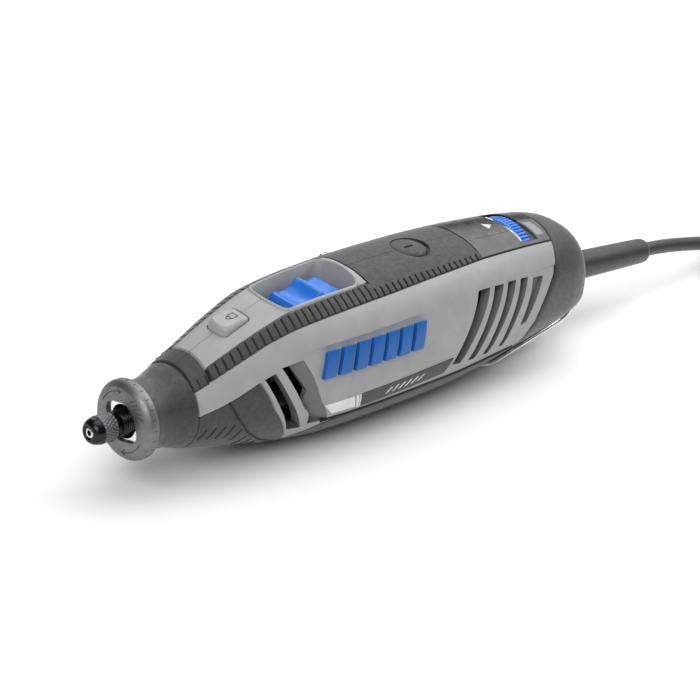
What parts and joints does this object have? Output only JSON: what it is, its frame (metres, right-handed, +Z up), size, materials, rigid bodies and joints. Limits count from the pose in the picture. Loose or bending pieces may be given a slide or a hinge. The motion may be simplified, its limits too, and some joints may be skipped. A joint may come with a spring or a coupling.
{
  "type": "rotary hobby tool",
  "caption": "Corded rotary hobby tool: tapered clamshell body with soft grips, collet nose, slide switch, shaft lock, ribbed speed dial, hanging bail and a lead with a flat plug.",
  "frame": {"origin": "under the middle of the tool's body, on the surface that it lies on", "axes": "+X from the collet to the tail along the spindle, +Z up from the belly to the switch"},
  "size_m": [0.4276, 0.0885, 0.0579],
  "materials": {
    "grey_plastic": "fine grained",
    "soft_grip": "matte",
    "dark_plastic": "satin",
    "gloss_window": "polished",
    "blue_plastic": "satin",
    "dark_blue_plastic": "satin",
    "ring_metal": "blasted",
    "black_steel": "blackened",
    "steel": "ground",
    "wire_steel": "polished",
    "laminations": "stacked sheets",
    "copper_wire": "enamelled",
    "brass": "plain",
    "carbon": "pressed",
    "board": "printed circuit",
    "film": "dipped",
    "cord_cover": "smooth"
  },
  "bodies": {
    "housing": {"housing_left": "grey_plastic", "housing_right": "grey_plastic", "grip_left": "soft_grip", "grip_right": "soft_grip", "keel_grip_left": "soft_grip", "keel_grip_right": "soft_grip", "tail_insert": "soft_grip", "dial_window": "gloss_window", "tail_cap": "dark_plastic", "front_bearing": "steel", "front_bearing_mount": "dark_plastic", "rear_bearing": "steel", "rear_bearing_plate": "dark_plastic", "field_core": "laminations", "field_coil_left": "copper_wire", "field_coil_right": "copper_wire", "brush_holder_top": "brass", "brush_holder_bottom": "brass", "carbon_brush_top": "carbon", "carbon_brush_bottom": "carbon", "brush_spring_top": "steel", "brush_spring_bottom": "steel", "power_switch": "dark_plastic", "potentiometer": "dark_plastic", "control_board": "board", "capacitor": "film", "hanger_clip": "dark_plastic", "badge_left": "blue_plastic", "badge_right": "blue_plastic", "housing_screw_1": "steel", "housing_screw_2": "steel", "housing_screw_3": "steel", "housing_screw_4": "steel", "strain_relief": "cord_cover", "cord": "cord_cover", "cord_coil": "cord_cover", "plug_body": "cord_cover", "plug_pin_a": "steel", "plug_pin_b": "steel"},
    "spindle": {"spindle_shaft": "black_steel", "collet": "steel", "cooling_fan": "dark_plastic", "armature_core": "laminations", "armature_winding_front": "copper_wire", "armature_winding_rear": "copper_wire", "commutator": "brass"},
    "nut": {"collet_nut": "black_steel"},
    "nose_cap": {"wrench_ring": "ring_metal", "nose_collar": "dark_plastic"},
    "lock": {"lock_button": "grey_plastic", "lock_pin": "steel", "lock_spring": "steel"},
    "slider": {"slide_button": "blue_plastic", "slide_plate": "dark_blue_plastic", "switch_link": "dark_plastic"},
    "dial": {"speed_dial": "blue_plastic", "dial_shaft": "steel"},
    "hanger": {"hanger_wire": "wire_steel"},
    "cap_top": {"brush_cap_top": "dark_plastic"},
    "cap_bottom": {"brush_cap_bottom": "dark_plastic"}
  },
  "joints": [
    {"name": "spindle_spin", "type": "hinge", "parent": "housing", "child": "spindle", "pos_m": [-0.117, 0, 0.0258], "axis": [1, 0, 0], "continuous": true},
    {"name": "collet_nut_turn", "type": "hinge", "parent": "spindle", "child": "nut", "pos_m": [-0.117, 0, 0.0258], "axis": [-1, 0, 0], "continuous": true},
    {"name": "nose_cap_turn", "type": "hinge", "parent": "housing", "child": "nose_cap", "pos_m": [-0.099, 0, 0.0258], "axis": [-1, 0, 0], "range_deg": [0, 1080]},
    {"name": "lock_press", "type": "slide", "parent": "housing", "child": "lock", "axis": [0, 0, -1], "range_m": [0, 0.003], "stiffness_N_per_m": 1200, "springref_m": -0.003, "deforming": ["lock_spring"]},
    {"name": "power_slide", "type": "slide", "parent": "housing", "child": "slider", "axis": [-1, 0, 0], "range_m": [0, 0.0045]},
    {"name": "dial_turn", "type": "hinge", "parent": "housing", "child": "dial", "pos_m": [0.076, 0, 0.0382], "axis": [1, 0, 0], "range_deg": [0, 270]},
    {"name": "hanger_swing", "type": "hinge", "parent": "housing", "child": "hanger", "pos_m": [0.1143, 0, 0.0268], "axis": [0, -1, 0], "range_deg": [0, 140]},
    {"name": "brush_cap_top_turn", "type": "hinge", "parent": "housing", "child": "cap_top", "pos_m": [0.0235, 0, 0.0568], "axis": [0, 0, 1], "range_deg": [0, 720]},
    {"name": "brush_cap_bottom_turn", "type": "hinge", "parent": "housing", "child": "cap_bottom", "pos_m": [0.0235, 0, 0.0008], "axis": [0, 0, -1], "range_deg": [0, 720]}
  ]
}
